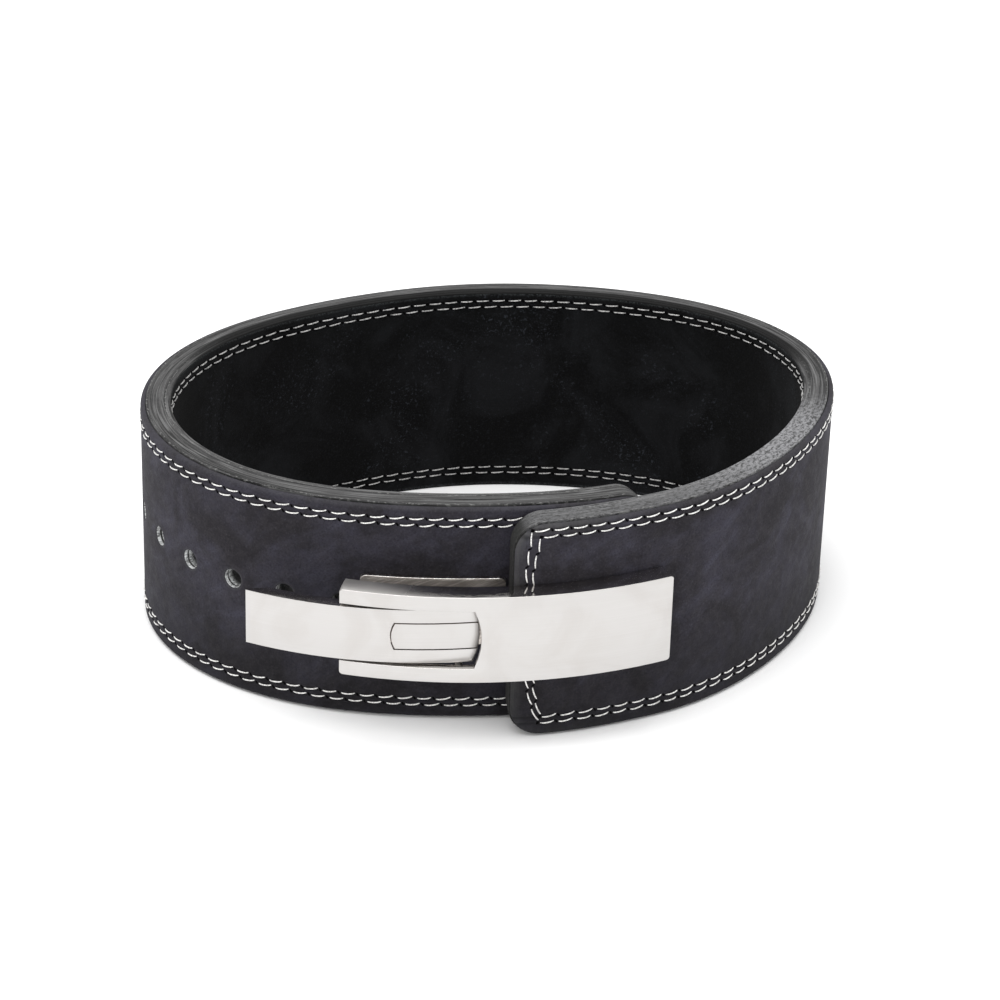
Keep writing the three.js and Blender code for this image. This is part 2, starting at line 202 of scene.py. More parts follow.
def rim_loop(column_count, row_count):
    """Column and row numbers once round a grid's rim."""
    loop = [(c, 0) for c in range(column_count - 1)]
    loop += [(column_count - 1, r) for r in range(row_count - 1)]
    loop += [(c, row_count - 1) for c in range(column_count - 1, 0, -1)]
    return loop + [(0, r) for r in range(row_count - 1, 0, -1)]


def rim_distance(places):
    """How far a point of the strap lies inside the strap's outline."""
    run = np.abs(places[:, 0] - strap_length / 2) - (strap_length / 2 - corner_radius)
    rise = np.abs(places[:, 1] - strap_width / 2) - (strap_width / 2 - corner_radius)
    outside = np.hypot(np.maximum(run, 0), np.maximum(rise, 0))
    return corner_radius - outside - np.minimum(np.maximum(run, rise), 0)


def rounded_profile(face_depth, back_depth, inset, radius):
    """Profile of a skin whose visible face rolls over into its rim."""
    inward = math.copysign(1, back_depth - face_depth)
    rows = []
    for step in range(rim_steps + 1):
        swing = math.pi / 2 * (1 - step / rim_steps)
        depth = face_depth + inward * radius * (1 - math.sin(swing))
        rows.append((inset + radius * (1 - math.cos(swing)), depth))
    return rows + [(inset, back_depth)]


def strap_layer(name, profile, skin, rim_skin, hole_wall):
    """A closed layer with its holes, from a profile of insets and depths that runs round its rim."""
    places = []
    faces = []
    rim_faces = []
    wall_faces = []

    def add(rows):
        start = len(places)
        places.extend(rows)
        return list(range(start, start + len(rows)))

    def bridge(one, other, into):
        count = len(one)
        for i in range(count):
            j = (i + 1) % count
            into.append((one[i], one[j], other[j], other[i]))

    column_count, row_count = layer_grid(*profile[0]).shape[:2]
    loop = rim_loop(column_count, row_count)
    first_row = row_count_below_holes()
    face_depth, back_depth = profile[0][1], profile[-1][1]
    inward = math.copysign(hole_lip, back_depth - face_depth)
    # The grids of the visible face and of the back.
    grids = []
    for inset, depth in (profile[0], profile[-1]):
        grid = layer_grid(inset, depth)
        grids.append(np.array(add(grid.reshape(-1, 3).tolist())).reshape(column_count, row_count))
    # Each hole: a patch of cells is left open, and rings run from its rim over the lip and through the layer.
    open_cells = set()
    for place in hole_places:
        first_column = corner_steps + int(np.argmin(np.abs(middle_columns - (place - patch_reach))))
        patch = [(first_column + c, first_row + r) for c, r in rim_loop(patch_cells + 1, patch_cells + 1)]
        for column in range(first_column, first_column + patch_cells):
            open_cells.update((column, row) for row in range(first_row, first_row + patch_cells))
        front, back = [[numbers[c, r] for c, r in patch] for numbers in grids]
        bearings = [math.atan2(places[v][1] - hole_line, places[v][0] - place) for v in front]
        ways = [(math.cos(bearing), math.sin(bearing)) for bearing in bearings]
        rings = (
            (hole_radius + 3 * hole_lip, face_depth, False),
            (hole_radius + hole_lip, face_depth + 0.1 * inward, False),
            (hole_radius, face_depth + inward, False),
            (hole_radius, back_depth, True),
            (hole_radius + hole_lip, back_depth, True),
        )
        before = front
        for radius, depth, inside in rings:
            ring = add([(place + radius * run, hole_line + radius * rise, depth) for run, rise in ways])
            bridge(before, ring, wall_faces if inside else faces)
            before = ring
        bridge(before, back, faces)
    # The cells that stay, and the rim between the two faces.
    for numbers in grids:
        for column in range(column_count - 1):
            for row in range(row_count - 1):
                if (column, row) not in open_cells:
                    corners = ((column, row), (column + 1, row), (column + 1, row + 1), (column, row + 1))
                    faces.append(tuple(numbers[c, r] for c, r in corners))
    before = [grids[0][c, r] for c, r in loop]
    for inset, depth in profile[1:-1]:
        ring_grid = layer_grid(inset, depth)
        ring = add([ring_grid[c, r].tolist() for c, r in loop])
        bridge(before, ring, rim_faces)
        before = ring
    bridge(before, [grids[1][c, r] for c, r in loop], rim_faces)

    places = np.array(places)
    mesh = bpy.data.meshes.new(name)
    all_faces = [tuple(map(int, face)) for face in faces + rim_faces + wall_faces]
    mesh.from_pydata(strap_points(places).tolist(), [], all_faces)
    for finish in (skin, rim_skin, hole_wall):
        mesh.materials.append(finish)
    finish_numbers = [0] * len(faces) + [1] * len(rim_faces) + [2] * len(wall_faces)
    mesh.polygons.foreach_set("material_index", finish_numbers)
    shell = bmesh.new()
    shell.from_mesh(mesh)
    bmesh.ops.recalc_face_normals(shell, faces=shell.faces)
    shell.to_mesh(mesh)
    shell.free()
    to_hole = np.min(np.hypot(places[:, :1] - hole_places[None, :], places[:, 1:2] - hole_line), axis=1)
    mesh.attributes.new("strap_place", "FLOAT_VECTOR", "POINT").data.foreach_set("vector", places.ravel())
    mesh.attributes.new("rim_distance", "FLOAT", "POINT").data.foreach_set("value", rim_distance(places))
    mesh.attributes.new("hole_distance", "FLOAT", "POINT").data.foreach_set("value", to_hole)
    mesh.shade_smooth()
    mesh.set_sharp_from_angle(angle=layer_crease)
    layer = bpy.data.objects.new(name, mesh)
    bpy.context.scene.collection.objects.link(layer)
    return layer


# Finishes: every surface is a node tree. These helpers add its nodes, and a finish is painted up in thin
# washes, each one a colour that is laid over what is there by a share.
def new_material(name):
    material = bpy.data.materials.new(name)
    material.use_nodes = True
    return material, material.node_tree, material.node_tree.nodes["Principled BSDF"]


def node(tree, kind, inputs=(), **settings):
    """Adds a node with its settings, and sets or links its inputs by name or number."""
    made = tree.nodes.new(kind)
    for key, value in settings.items():
        setattr(made, key, value)
    for key, value in dict(inputs).items():
        if isinstance(value, bpy.types.NodeSocket):
            tree.links.new(value, made.inputs[key])
        else:
            made.inputs[key].default_value = value
    return made


def noise(tree, vector, scale, detail=4, roughness=0.6, distortion=0.0):
    """Noise of a scale per metre on a vector. Its value is centred on a half."""
    inputs = {"Vector": vector, "Scale": scale, "Detail": detail, "Roughness": roughness}
    inputs["Distortion"] = distortion
    return node(tree, "ShaderNodeTexNoise", inputs).outputs["Fac"]


def ramp(tree, value, low, high, low_out=0.0, high_out=1.0):
    """Maps a value smoothly from one range to another, held at both ends."""
    inputs = {"Value": value, "From Min": low, "From Max": high, "To Min": low_out, "To Max": high_out}
    made = node(tree, "ShaderNodeMapRange", inputs, interpolation_type="SMOOTHSTEP")
    return made.outputs["Result"]


def maths(tree, operation, one, two=0.0):
    return node(tree, "ShaderNodeMath", {0: one, 1: two}, operation=operation).outputs[0]


def product(tree, one, two):
    return maths(tree, "MULTIPLY", one, two)


def parts_of(tree, vector):
    """A vector's X, Y and Z."""
    return node(tree, "ShaderNodeSeparateXYZ", {0: vector}).outputs


def blend(tree, share, one, other):
    """The first colour, with the other laid over it by a share."""
    made = tree.nodes.new("ShaderNodeMix")
    made.data_type = "RGBA"
    for socket, value in zip((made.inputs[0], made.inputs[6], made.inputs[7]), (share, one, other)):
        if isinstance(value, bpy.types.NodeSocket):
            tree.links.new(value, socket)
        else:
            socket.default_value = value
    return made.outputs[2]


def turned(tree, vector, turn):
    return node(tree, "ShaderNodeMapping", {"Vector": vector, "Rotation": turn}).outputs["Vector"]


def streaked(tree, vector, scales, detail=4, roughness=0.6, distortion=0.0):
    """Noise with a scale of its own along each axis of a vector, so that its specks are drawn out."""
    drawn = node(tree, "ShaderNodeMapping", {"Vector": vector, "Scale": scales}).outputs["Vector"]
    return noise(tree, drawn, 1, detail, roughness, distortion)


def bump(tree, height, distance, strength=1.0, normal=None):
    inputs = {"Height": height, "Distance": distance, "Strength": strength}
    if normal is not None:
        inputs["Normal"] = normal
    return node(tree, "ShaderNodeBump", inputs).outputs["Normal"]


def attribute(tree, name):
    return node(tree, "ShaderNodeAttribute", attribute_name=name, attribute_type="GEOMETRY").outputs


def object_place(tree):
    return node(tree, "ShaderNodeTexCoord").outputs["Object"]


def strap_place(tree):
    """A point's place on the strap, and its arc length, height and depth one by one."""
    place = attribute(tree, "strap_place")["Vector"]
    parts = parts_of(tree, place)
    return place, parts["X"], parts["Y"], parts["Z"]


def before_end(tree, arc, reach, low_out=0.0, high_out=1.0):
    """Ramp along the strap between two distances before its outer end."""
    start, end = (strap_length - distance for distance in reach)
    return ramp(tree, arc, start, end, low_out, high_out)


# Rows: two rows of stitches run near every edge, and pull grooves into the hide. The upper ones drift towards
# the edge along the strap.
row_spacing = 3.0 * mm
groove_bed = 0.1 * mm
groove_reach = 1.2 * mm
top_row_start = strap_width - 5.9 * mm
top_row_drift = 3.2 * mm
bottom_row_start = 6.8 * mm


def top_row_height(arc, number):
    return top_row_start + top_row_drift * arc / strap_length - number * row_spacing


def bottom_row_height(number):
    return bottom_row_start + number * row_spacing


def stitch_grooves(tree):
    """1 in the four lines that the stitches pull into the hide along the strap, 0 elsewhere."""
    _, arc, height, _ = strap_place(tree)
    lines = []
    for number in range(2):
        start, end = top_row_height(0, number), top_row_height(strap_length, number)
        lines.append((start, (end - start) / strap_length))
        lines.append((bottom_row_height(number), 0.0))
    mask = None
    for level, slope in lines:
        inputs = {0: arc, 1: slope, 2: level}
        row = node(tree, "ShaderNodeMath", inputs, operation="MULTIPLY_ADD").outputs[0]
        off = maths(tree, "ABSOLUTE", maths(tree, "SUBTRACT", height, row))
        dent = ramp(tree, off, groove_bed, groove_reach, 1.0, 0.0)
        mask = dent if mask is None else maths(tree, "MAXIMUM", mask, dent)
    return mask


# Outer skin: charcoal nubuck, buffed to a short nap. It has faint bluish clouds, slanting brush marks, fine
# scratches along the strap, a paler worn roll at its rim, and a groove under each row of stitches.
rim_roll = 1.4 * mm
brush_slant = math.radians(35)
worn_reach = 3.0 * mm
end_scuff_place = (60 * mm, 8 * mm)
shade_reach = 55 * mm


def nubuck():
    material, tree, shader = new_material("nubuck")
    place = object_place(tree)
    strap, arc, height, _ = strap_place(tree)
    rim = attribute(tree, "rim_distance")["Fac"]
    to_hole = attribute(tree, "hole_distance")["Fac"]
    grooves = stitch_grooves(tree)
    # Dye, its clouds and brush marks, and the nap's shaded and lit tips.
    clouds = ramp(tree, noise(tree, place, 36, 5, 0.62, 0.6), 0.36, 0.68)
    brushed = streaked(tree, turned(tree, strap, (0, 0, brush_slant)), (30, 130, 60), 4, 0.62, 0.5)
    mottle = ramp(tree, noise(tree, place, 210, 4, 0.7), 0.35, 0.7)
    nap = noise(tree, place, 1100, 3, 0.75)
    colour = blend(tree, clouds, (0.0130, 0.0116, 0.0142, 1), (0.0285, 0.0268, 0.0372, 1))
    strokes = product(tree, ramp(tree, brushed, 0.45, 0.68), clouds)
    colour = blend(tree, product(tree, strokes, 0.6), colour, (0.046, 0.045, 0.063, 1))
    colour = blend(tree, product(tree, mottle, 0.25), colour, (0.026, 0.0225, 0.0262, 1))
    colour = blend(tree, ramp(tree, nap, 0.32, 0.5, 0.45, 0.0), colour, (0.005, 0.0045, 0.006, 1))
    colour = blend(tree, ramp(tree, nap, 0.53, 0.72, 0.0, 0.22), colour, (0.080, 0.075, 0.088, 1))
    # Wear: scratches along the strap, the rubbed rim, and the scuffed band round the outer end.
    scratches = streaked(tree, strap, (26, 700, 700), 3, 0.6, 0.3)
    colour = blend(tree, ramp(tree, scratches, 0.68, 0.78, 0.0, 0.14), colour, (0.07, 0.07, 0.08, 1))
    rubbed = ramp(tree, rim, 0.9 * mm, worn_reach, 0.42, 0.0)
    worn = product(tree, rubbed, ramp(tree, nap, 0.3, 0.7, 0.5, 1.0))
    colour = blend(tree, worn, colour, (0.050, 0.049, 0.052, 1))
    by_end = before_end(tree, arc, end_scuff_place)
    scuffs = ramp(tree, streaked(tree, strap, (650, 45, 650), 3), 0.35, 0.65, 0.3, 0.75)
    pressed = product(tree, ramp(tree, rim, 1.0 * mm, 7.0 * mm, 0.85, 0.0), scuffs)
    colour = blend(tree, product(tree, pressed, by_end), colour, (0.060, 0.060, 0.058, 1))
    # Pale rings round the punched holes, painted shade in the grooves under the stitches, and shade towards
    # the floor.
    punched = ramp(tree, to_hole, hole_radius + 0.2 * mm, hole_radius + 1.5 * mm, 0.4, 0.0)
    colour = blend(tree, punched, colour, (0.055, 0.055, 0.058, 1))
    # Painted shade: the stitch grooves are darkened almost to black.
    colour = blend(tree, product(tree, grooves, 0.55), colour, (0.008, 0.008, 0.009, 1))
    colour = blend(tree, ramp(tree, height, 0, shade_reach, 0.58, 0.0), colour, (0.003, 0.0028, 0.0032, 1))
    tree.links.new(colour, shader.inputs["Base Color"])
    tree.links.new(ramp(tree, mottle, 0.0, 1.0, 0.95, 0.82), shader.inputs["Roughness"])
    shader.inputs["Specular IOR Level"].default_value = 0.2
    shader.inputs["Sheen Weight"].default_value = 0.03
    shader.inputs["Sheen Roughness"].default_value = 0.5
    shader.inputs["Sheen Tint"].default_value = (0.9, 0.88, 1.0, 1)
    soft = bump(tree, noise(tree, place, 60, 3), 0.5 * mm, 0.5)
    soft = bump(tree, nap, 0.14 * mm, 0.8, soft)
    soft = bump(tree, product(tree, grooves, -1.0), 0.5 * mm, 0.8, soft)
    tree.links.new(soft, shader.inputs["Normal"])
    return material


def raw_hide():
    """Torn, greyed fibres inside the punched holes, pale near the mouth, with painted shade turning them
    black further in.
    """
    material, tree, shader = new_material("raw_hide")
    strap, _, _, depth = strap_place(tree)
    fibres = streaked(tree, strap, (700, 1100, 330), 5, 0.75, 1.2)
    tufts = noise(tree, object_place(tree), 420, 3, 0.6)
    colour = blend(tree, ramp(tree, fibres, 0.36, 0.58), (0.07, 0.07, 0.072, 1), (0.78, 0.80, 0.80, 1))
    colour = blend(tree, ramp(tree, tufts, 0.35, 0.55, 0.4, 0.0), colour, (0.10, 0.10, 0.102, 1))
    # Painted shade: deeper in the hole, where little light reaches, the wall is painted nearly black.
    colour = blend(tree, ramp(tree, depth, 2.8 * mm, 6.0 * mm, 0.0, 0.97), colour, (0.003, 0.003, 0.003, 1))
    tree.links.new(colour, shader.inputs["Base Color"])
    shader.inputs["Roughness"].default_value = 0.95
    shader.inputs["Sheen Weight"].default_value = 0.15
    tree.links.new(bump(tree, fibres, 0.6 * mm, 1.0), shader.inputs["Normal"])
    return material


raw_hide_finish = raw_hide()
nubuck_finish = nubuck()
outer_profile = rounded_profile(0, outer_skin, skin_inset, rim_roll)
outer_layer = strap_layer("nubuck_skin", outer_profile, nubuck_finish, nubuck_finish, raw_hide_finish)
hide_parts("outer_layer")
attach(outer_layer, "belt")


# Core: two bonded hides whose cut edge is sanded, dyed and burnished. Its fine layers show as lines along the
# strap under a waxy shine. Towards the outer end they give way to open grain, and round the back the lining's
# black nap is smeared over the inner third. The nap's places are arc lengths, the others lie before the end.
edge_break = 0.35 * mm
core_face = outer_skin + glue_line
core_back = core_face + core_hide
open_grain_place = (215 * mm, 165 * mm)
fading_grain_place = (150 * mm, 60 * mm)
tip_face_place = (9 * mm, 3 * mm)
nap_start_place = (270 * mm, 350 * mm)
nap_end_place = (650 * mm, 710 * mm)
nap_depth = (7.6 * mm, 8.8 * mm)


def burnished_edge():
    material, tree, shader = new_material("burnished_edge")
    strap, arc, _, depth = strap_place(tree)
    # Layers of the hide: dark and pale lines, wax in patches, and black cracks between the lines.
    lines = streaked(tree, strap, (8, 8, 950), 4, 0.7, 0.05)
    fine_lines = streaked(tree, strap, (30, 30, 1700), 2, 0.6, 0.05)
    patches = ramp(tree, noise(tree, object_place(tree), 22, 4), 0.35, 0.65)
    cracks = streaked(tree, strap, (22, 22, 520), 3, 0.6, 0.3)
    colour = blend(tree, ramp(tree, lines, 0.42, 0.56), (0.003, 0.003, 0.003, 1), (0.056, 0.055, 0.055, 1))
    colour = blend(tree, ramp(tree, fine_lines, 0.50, 0.60, 0.0, 0.7), colour, (0.15, 0.15, 0.15, 1))
    colour = blend(tree, product(tree, patches, 0.25), colour, (0.050, 0.049, 0.050, 1))
    colour = blend(tree, ramp(tree, cracks, 0.33, 0.42, 0.9, 0.0), colour, (0.002, 0.002, 0.002, 1))
    colour = blend(tree, ramp(tree, depth, 2.6 * mm, 6.5 * mm, 0.5, 0.0), colour, (0.006, 0.006, 0.006, 1))
    # Open, speckled grain on the last stretch, and frayed fibres along the two glued seams.
    pores = streaked(tree, strap, (420, 760, 760), 3, 0.8, 0.3)
    open_grain = before_end(tree, arc, open_grain_place)
    fading = before_end(tree, arc, fading_grain_place, 1.0, 0.3)
    grain_share = product(tree, product(tree, open_grain, fading), 0.8)
    grainy = blend(tree, ramp(tree, pores, 0.40, 0.56), (0.030, 0.030, 0.031, 1), (0.25, 0.25, 0.26, 1))
    colour = blend(tree, grain_share, colour, grainy)
    frays = ramp(tree, streaked(tree, strap, (520, 520, 1400), 2), 0.54, 0.62)
    for seam in (core_face + 0.5 * mm, core_back - 0.3 * mm):
        off_seam = maths(tree, "ABSOLUTE", maths(tree, "SUBTRACT", depth, seam))
        fray = product(tree, ramp(tree, off_seam, 0.2 * mm, 0.7 * mm, 0.38, 0.0), frays)
        colour = blend(tree, fray, colour, (0.30, 0.30, 0.29, 1))
    # The dull tip, and the lining's nap round the back.
    tip_face = before_end(tree, arc, tip_face_place, 0.0, 0.85)
    colour = blend(tree, tip_face, colour, (0.008, 0.008, 0.007, 1))
    behind = product(tree, ramp(tree, arc, *nap_start_place), ramp(tree, arc, *nap_end_place, 1.0, 0.0))
    napped = product(tree, behind, ramp(tree, depth, *nap_depth, 0.0, 0.95))
    colour = blend(tree, napped, colour, (0.003, 0.003, 0.003, 1))
    tree.links.new(colour, shader.inputs["Base Color"])
    waxy = ramp(tree, pores, 0.3, 0.7, 0.46, 0.66)
    dull = maths(tree, "MAXIMUM", napped, tip_face)
    tree.links.new(maths(tree, "MAXIMUM", waxy, dull), shader.inputs["Roughness"])
    shader.inputs["Specular IOR Level"].default_value = 0.22
    relief = bump(tree, lines, 0.14 * mm, 0.8)
    relief = bump(tree, fine_lines, 0.05 * mm, 0.8, relief)
    pore_relief = product(tree, pores, ramp(tree, open_grain, 0.0, 1.0, 0.3, 1.0))
    relief = bump(tree, pore_relief, 0.22 * mm, 0.9, relief)
    tree.links.new(relief, shader.inputs["Normal"])
    return material


core_profile = [
    (edge_break, core_face),
    (0.3 * edge_break, core_face + 0.3 * edge_break),
    (0, core_face + edge_break),
    (0, (core_face + core_back) / 2),
    (0, core_back + 0.9 * glue_line),
]
edge_finish = burnished_edge()
leather_core = strap_layer("leather_core_edge", core_profile, edge_finish, edge_finish, raw_hide_finish)
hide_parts("leather_core")
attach(leather_core, "belt")


# Lining: black suede on the wearer's side. Its soft nap shows brushed blue-grey clouds and pale lint, and
# stands up as pale fuzz near its rim, partly lightened by a painted highlight. Its cut edge is burnished with
# the core's.
lining_inset = 0.1 * mm
lining_roll = 0.6 * mm


def suede():
    material, tree, shader = new_material("suede")
    place = object_place(tree)
    rim = attribute(tree, "rim_distance")["Fac"]
    clouds = ramp(tree, noise(tree, place, 26, 5, 0.65, 1.0), 0.40, 0.68)
    nap = noise(tree, place, 1300, 3, 0.8)
    colour = blend(tree, clouds, (0.0014, 0.0014, 0.0015, 1), (0.0064, 0.0067, 0.0076, 1))
    colour = blend(tree, ramp(tree, nap, 0.50, 0.72, 0.0, 0.45), colour, (0.013, 0.0135, 0.015, 1))
    clusters = ramp(tree, noise(tree, place, 21, 4, 0.7, 0.6), 0.44, 0.62, 0.12, 1.0)
    for scale, strength in ((700, 0.55), (1700, 0.4)):
        lint = ramp(tree, noise(tree, place, scale, 2, 0.5, 0.4), 0.60, 0.70, 0.0, strength)
        colour = blend(tree, product(tree, lint, clusters), colour, (0.034, 0.038, 0.046, 1))
    # Pale fuzz along the rim, partly the fibres' own colour and partly a painted highlight on them.
    fuzz_and_highlight = product(tree, ramp(tree, rim, 0.9 * mm, 2.2 * mm, 0.35, 0.0), ramp(tree, nap, 0.4, 0.6))
    colour = blend(tree, fuzz_and_highlight, colour, (0.085, 0.092, 0.095, 1))
    tree.links.new(colour, shader.inputs["Base Color"])
    shader.inputs["Roughness"].default_value = 0.97
    shader.inputs["Specular IOR Level"].default_value = 0.08
    shader.inputs["Sheen Weight"].default_value = 0.015
    shader.inputs["Sheen Roughness"].default_value = 0.6
    soft = bump(tree, noise(tree, place, 70, 3), 0.6 * mm, 0.5)
    soft = bump(tree, product(tree, stitch_grooves(tree), -1.0), 0.5 * mm, 0.8, soft)
    soft = bump(tree, nap, 0.18 * mm, 1.0, soft)
    tree.links.new(soft, shader.inputs["Normal"])
    return material


suede_finish = suede()
lining_profile = rounded_profile(strap_thickness, core_back + glue_line, lining_inset, lining_roll)
suede_lining = strap_layer("suede_skin", lining_profile, suede_finish, edge_finish, raw_hide_finish)
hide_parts("suede_lining")
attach(suede_lining, "belt")


# Stitching: two rows of waxed thread go through all the layers, white outside and grey inside. Each stitch
# arches out of one needle hole, bows a little, and dives into the next. At the outer end the rows turn
# slanting corners.
stitch_pitch = 8.02 * mm
stitch_length = 7.1 * mm
thread_radius = 0.32 * mm
thread_flattening = 0.85
stitch_rise = 0.34 * mm
stitch_dive = 2.6
outer_bow = 0.42 * mm
outer_slant = math.radians(7)
inner_slant = 0.3 * outer_slant
awl_slant = math.radians(28)
stitch_unevenness = 0.06
stitch_seed = 7
stitch_sides = 8
stitch_steps = 8

# A needle slit's two rings, each with its half width, half height and rise off the face in millimetres.
slit_rings = ((0.40, 0.86, 0.06), (0.50, 1.00, -0.30))
slit_sides = 10

# A row stands off the strap's ends by a margin, and the next row by a step more. Down the outer end it bends
# at places with a margin, a step and a height in millimetres, and joins its bottom run at a last margin.
seam_margin = 7.6 * mm
seam_step = 3.7 * mm
outer_end_bends = ((5.4, 2.9, 78), (6.6, 2.9, 28), (7.8, 2.8, 20))
last_bend_margin = 12.4 * mm
last_bend_step = 0.8 * mm


def stitch_shape(stitch_bow):
    """One stitch along +X on a face whose outside is +Z."""
    sides = stitch_sides
    points = []
    for step in range(stitch_steps + 1):
        share = 2 * step / stitch_steps - 1
        radius = thread_radius * (0.5 + 0.5 * math.sqrt(max(0, 1 - share * share)))
        bow = stitch_bow * (share * share - 0.4)
        centre = Vector((share * stitch_length / 2, bow, stitch_rise * (1 - stitch_dive * share ** 4)))
        for side in range(sides):
            swing = 2 * math.pi * side / sides
            rise = thread_flattening * radius * math.sin(swing)
            points.append(centre + Vector((0, radius * math.cos(swing), rise)))
    faces = [tuple(range(sides)), tuple(range(len(points) - 1, len(points) - sides - 1, -1))]
    for step in range(stitch_steps):
        for side in range(sides):
            one, two = step * sides + side, step * sides + (side + 1) % sides
            faces.append((two, one, one + sides, two + sides))
    return points, faces


def needle_hole_shape():
    """A dark patch of painted shade in the shape of an awl slit across the run, just proud of the face so
    that it shows.
    """
    sides = slit_sides
    swings = np.linspace(0, 2 * math.pi, sides, endpoint=False)
    points = []
    for width, height, rise in slit_rings:
        points += [Vector((width * math.cos(a), height * math.sin(a), rise)) * mm for a in swings]
    faces = [tuple(range(sides)), tuple(range(2 * sides - 1, sides - 1, -1))]
    faces += [(i, i + sides, (i + 1) % sides + sides, (i + 1) % sides) for i in range(sides)]
    return points, faces


def shape_object(name, shape):
    points, faces = shape
    mesh = bpy.data.meshes.new(name)
    mesh.from_pydata([tuple(p) for p in points], [], faces)
    mesh.shade_smooth()
    return bpy.data.objects.new(name, mesh)


def stitching_tree():
    """Sets a shape on every point of a guide, turned to its run and to the face, slightly irregular."""
    tree = bpy.data.node_groups.new("stitching", "GeometryNodeTree")
    for name, way, kind in (
        ("Guide", "INPUT", "Geometry"),
        ("Shape", "INPUT", "Object"),
        ("Slant", "INPUT", "Float"),
        ("Unevenness", "INPUT", "Float"),
        ("Seed", "INPUT", "Int"),
        ("Finish", "INPUT", "Material"),
        ("Geometry", "OUTPUT", "Geometry"),
    ):
        tree.interface.new_socket(name, in_out=way, socket_type=f"NodeSocket{kind}")
    given = node(tree, "NodeGroupInput").outputs
    kept = {}
    for name, kind in (("run", "FLOAT_VECTOR"), ("face_normal", "FLOAT_VECTOR"), ("stretch", "FLOAT")):
        reader = node(tree, "GeometryNodeInputNamedAttribute", {"Name": name}, data_type=kind)
        kept[name] = reader.outputs["Attribute"]
    turn = node(tree, "FunctionNodeAlignRotationToVector", {"Vector": kept["run"]}, axis="X").outputs[0]
    inputs = {"Rotation": turn, "Vector": kept["face_normal"]}
    turn = node(tree, "FunctionNodeAlignRotationToVector", inputs, axis="Z", pivot_axis="X").outputs[0]
    chance = node(tree, "FunctionNodeRandomValue", {"Seed": given["Seed"]}, data_type="FLOAT")
    chance.inputs[2].default_value = -1.0
    chance.inputs[3].default_value = 1.0
    uneven = product(tree, chance.outputs[1], given["Unevenness"])
    askew = node(tree, "ShaderNodeCombineXYZ", {"Z": maths(tree, "ADD", uneven, given["Slant"])}).outputs[0]
    askew = node(tree, "FunctionNodeEulerToRotation", {0: askew}).outputs[0]
    inputs = {"Rotation": turn, "Rotate By": askew}
    turn = node(tree, "FunctionNodeRotateRotation", inputs, rotation_space="LOCAL").outputs[0]
    length = maths(tree, "ADD", product(tree, uneven, 0.6), kept["stretch"])
    size = node(tree, "ShaderNodeCombineXYZ", {"X": length, "Y": 1.0, "Z": 1.0}).outputs[0]
    shape = node(tree, "GeometryNodeObjectInfo", {"Object": given["Shape"]}).outputs["Geometry"]
    inputs = {"Points": given["Guide"], "Instance": shape, "Rotation": turn, "Scale": size}
    placed = node(tree, "GeometryNodeInstanceOnPoints", inputs).outputs[0]
    real = node(tree, "GeometryNodeRealizeInstances", {"Geometry": placed}).outputs[0]
    done = node(tree, "GeometryNodeSetMaterial", {"Geometry": real, "Material": given["Finish"]}).outputs[0]
    node(tree, "NodeGroupOutput", {"Geometry": done})
    return tree


def seam_sides(number):
    """The four sides of one row, as runs of arc length and height from corner to corner."""
    bottom = bottom_row_height(number)
    near = seam_margin + seam_step * number
    far = strap_length - near
    outer_end = [(far, top_row_height(strap_length, number))]
    for margin, step, height in outer_end_bends:
        outer_end.append((strap_length - (margin + step * number) * mm, height * mm))
    outer_end.append((strap_length - (last_bend_margin + last_bend_step * number), bottom))
    near_top = (near, top_row_height(0, number))
    return (
        [outer_end[0], near_top],
        outer_end,
        [outer_end[-1], (near, bottom)],
        [(near, bottom), near_top],
    )


def needle_places(side):
    """Needle holes at an even pitch along one side of a row, its corners included."""
    side = np.array(side)
    reach = np.concatenate([[0], np.cumsum(np.linalg.norm(np.diff(side, axis=0), axis=1))])
    at = np.linspace(0, reach[-1], round(reach[-1] / stitch_pitch) + 1)
    return np.column_stack([np.interp(at, reach, side[:, axis]) for axis in range(2)])


def guide_object(name, points, normals, runs, stretches):
    mesh = bpy.data.meshes.new(name)
    mesh.from_pydata(np.asarray(points).tolist(), [], [])
    mesh.attributes.new("face_normal", "FLOAT_VECTOR", "POINT").data.foreach_set("vector", np.ravel(normals))
    mesh.attributes.new("run", "FLOAT_VECTOR", "POINT").data.foreach_set("vector", np.ravel(runs))
    mesh.attributes.new("stretch", "FLOAT", "POINT").data.foreach_set("value", np.ravel(stretches))
    guide = bpy.data.objects.new(name, mesh)
    bpy.context.scene.collection.objects.link(guide)
    return guide


def seam_guides(depth, outside):
    """Two guides on one face of the strap: the middles of the stitches, and the needle holes."""
    stitches, holes = [], []
    for number in range(2):
        for side in seam_sides(number):
            needles = needle_places(side)
            points = strap_points(np.column_stack([needles, np.full(len(needles), depth)]))
            plan = at_lengths(strap_normals, needles[:, 0]) * outside
            outward = np.column_stack([plan, np.zeros(len(plan))])
            steps = np.diff(points, axis=0)
            lengths = np.linalg.norm(steps, axis=1)
            runs = steps / lengths[:, None] * outside
            middles = (points[1:] + points[:-1]) / 2
            stitches.append((middles, outward[1:] + outward[:-1], runs, lengths / stitch_pitch))
            holes.append((points, outward, np.vstack([runs, runs[-1:]]), np.ones(len(points))))
    guides = []
    for name, parts in (("stitch_guide", stitches), ("needle_guide", holes)):
        guides.append(guide_object(name, *[np.concatenate(column) for column in zip(*parts)]))
    return guides


